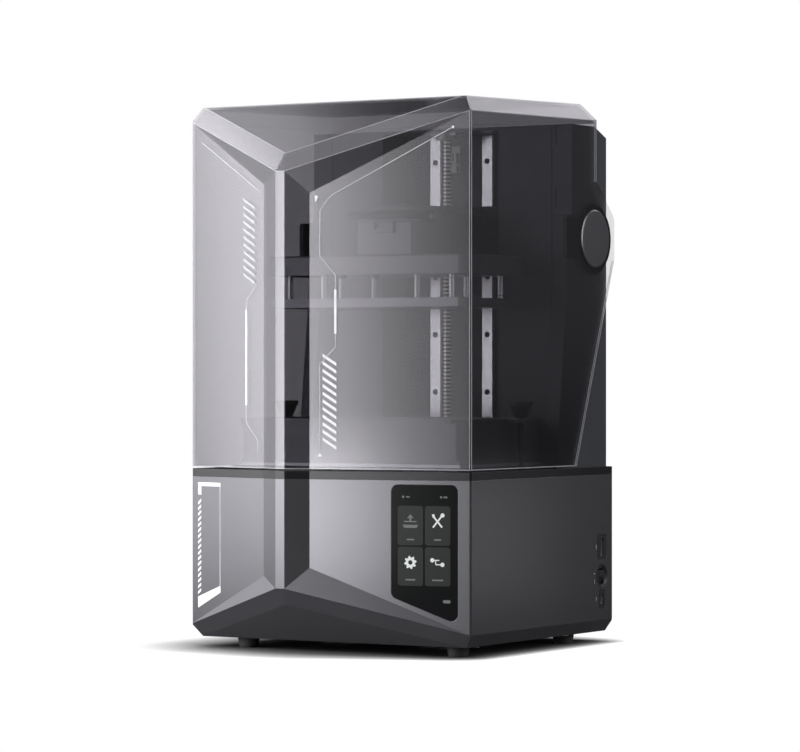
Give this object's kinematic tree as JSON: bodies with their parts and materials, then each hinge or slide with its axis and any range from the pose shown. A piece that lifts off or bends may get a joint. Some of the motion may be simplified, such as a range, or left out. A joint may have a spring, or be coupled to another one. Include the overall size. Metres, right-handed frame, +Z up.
{
  "type": "resin 3D printer",
  "caption": "Desktop resin 3D printer: gem-cut base with touch screen, flip-up clear cover, build platform on a lift, and a vat on a tilting bed",
  "frame": {"origin": "centre of the bounding box on the floor, under the feet", "axes": "+X to the machine's right, +Y to its back, +Z up"},
  "size_m": [0.3274, 0.3292, 0.548],
  "materials": {
    "base_metal": "satin grey metallic paint",
    "ledge_metal": "dark satin paint",
    "deck_metal": "matt black powder coat",
    "panel_metal": "grey powder coat",
    "tower_plastic": "fine-grained moulding",
    "cover_clear": "clear tinted acrylic",
    "dark_plastic": "fine-grained moulding",
    "white_plastic": "satin moulding",
    "screen_black": "black touch glass",
    "rubber_black": "matt",
    "dark_alloy": "anodised, satin",
    "grey_alloy": "anodised, satin",
    "bright_alloy": "bead blasted",
    "steel": "ground steel",
    "black_steel": "black oxide",
    "bright_steel": "polished",
    "brass": "turned",
    "film_clear": "clear film",
    "lens_clear": "clear lens sheet",
    "lcd_black": "dark screen",
    "board_green": "solder mask"
  },
  "bodies": {
    "base": {"base_shell": "base_metal", "ledge_frame": "ledge_metal", "deck_plate": "deck_metal", "bottom_plate": "panel_metal", "deck_posts": "steel", "feet": "rubber_black", "case_screws": "steel", "screen_glass": "screen_black", "screen_module": "dark_plastic", "side_bezel": "dark_plastic", "switch_body": "dark_plastic", "side_ports": "bright_steel", "power_inlet": "dark_plastic", "fan_frame": "dark_plastic", "tower_shell": "tower_plastic", "tower_back_cover": "panel_metal", "rail_left": "steel", "rail_right": "steel", "rail_screws": "black_steel", "screw_top_bearing": "grey_alloy", "z_motor": "black_steel", "limit_sensor": "white_plastic", "hinge_pins": "steel", "tilt_pivots": "steel", "tilt_motor": "black_steel", "inner_stands": "steel", "light_box": "dark_alloy", "light_lens": "lens_clear", "led_board": "white_plastic", "led_heatsink": "bright_alloy", "power_supply": "bright_alloy", "mainboard": "board_green"},
    "cover": {"cover_shell": "cover_clear", "hinge_arm_left": "dark_plastic", "hinge_arm_right": "dark_plastic", "hinge_cap_left": "grey_alloy", "hinge_cap_right": "grey_alloy"},
    "carriage": {"guide_blocks": "black_steel", "carriage_plate": "dark_alloy", "arm": "dark_alloy", "screw_nut": "brass", "platform_block": "dark_alloy", "platform_pan": "dark_alloy", "platform_pillars": "bright_steel", "build_plate": "grey_alloy", "lever_pin": "steel"},
    "clamp_lever": {"clamp_lever": "black_steel"},
    "z_screw": {"z_screw": "steel", "motor_coupler": "grey_alloy"},
    "tilt_bed": {"tilt_frame": "dark_alloy", "lcd_panel": "lcd_black", "film_frame": "bright_alloy", "release_film": "film_clear", "vat_body": "grey_alloy"},
    "tilt_rod": {"tilt_rod": "steel"},
    "thumb_left": {"thumb_screw_left": "dark_plastic"},
    "thumb_right": {"thumb_screw_right": "dark_plastic"},
    "power_rocker": {"power_rocker": "dark_plastic"},
    "fan_rotor": {"fan_rotor": "dark_plastic"}
  },
  "joints": [
    {"name": "cover_hinge", "type": "hinge", "parent": "base", "child": "cover", "pos_m": [0, 0.1229, 0.4112], "axis": [-1, 0, 0], "range_deg": [0, 75]},
    {"name": "z_slide", "type": "slide", "parent": "base", "child": "carriage", "axis": [0, 0, 1], "range_m": [-0.1545, 0.0655]},
    {"name": "z_screw_turn", "type": "hinge", "parent": "base", "child": "z_screw", "pos_m": [0, 0.1022, 0.36], "axis": [0, 0, 1], "continuous": true},
    {"name": "lever_pivot", "type": "hinge", "parent": "carriage", "child": "clamp_lever", "pos_m": [0, 0.01, 0.433], "axis": [-1, 0, 0], "range_deg": [0, 35]},
    {"name": "bed_tilt", "type": "hinge", "parent": "base", "child": "tilt_bed", "pos_m": [0, 0.078, 0.166], "axis": [1, 0, 0], "range_deg": [0, 3]},
    {"name": "tilt_drive", "type": "slide", "parent": "base", "child": "tilt_rod", "axis": [0, 0, -1], "range_m": [0, 0.0086]},
    {"name": "thumb_left_turn", "type": "hinge", "parent": "tilt_bed", "child": "thumb_left", "pos_m": [-0.1392, 0.0115, 0.22], "axis": [0, 0, 1], "continuous": true},
    {"name": "thumb_right_turn", "type": "hinge", "parent": "tilt_bed", "child": "thumb_right", "pos_m": [0.1392, 0.0115, 0.22], "axis": [0, 0, 1], "continuous": true},
    {"name": "power_switch", "type": "hinge", "parent": "base", "child": "power_rocker", "pos_m": [0.1582, 0.1376, 0.0676], "axis": [0, -1, 0], "range_deg": [0, 16]},
    {"name": "fan_spin", "type": "hinge", "parent": "base", "child": "fan_rotor", "pos_m": [0.066, 0.1506, 0.096], "axis": [0, 1, 0], "continuous": true}
  ],
  "couplings": [
    {"joint": "z_screw_turn", "follows": "z_slide", "rad_per_m": -785.4},
    {"joint": "tilt_drive", "follows": "bed_tilt", "m_per_rad": 0.164}
  ]
}
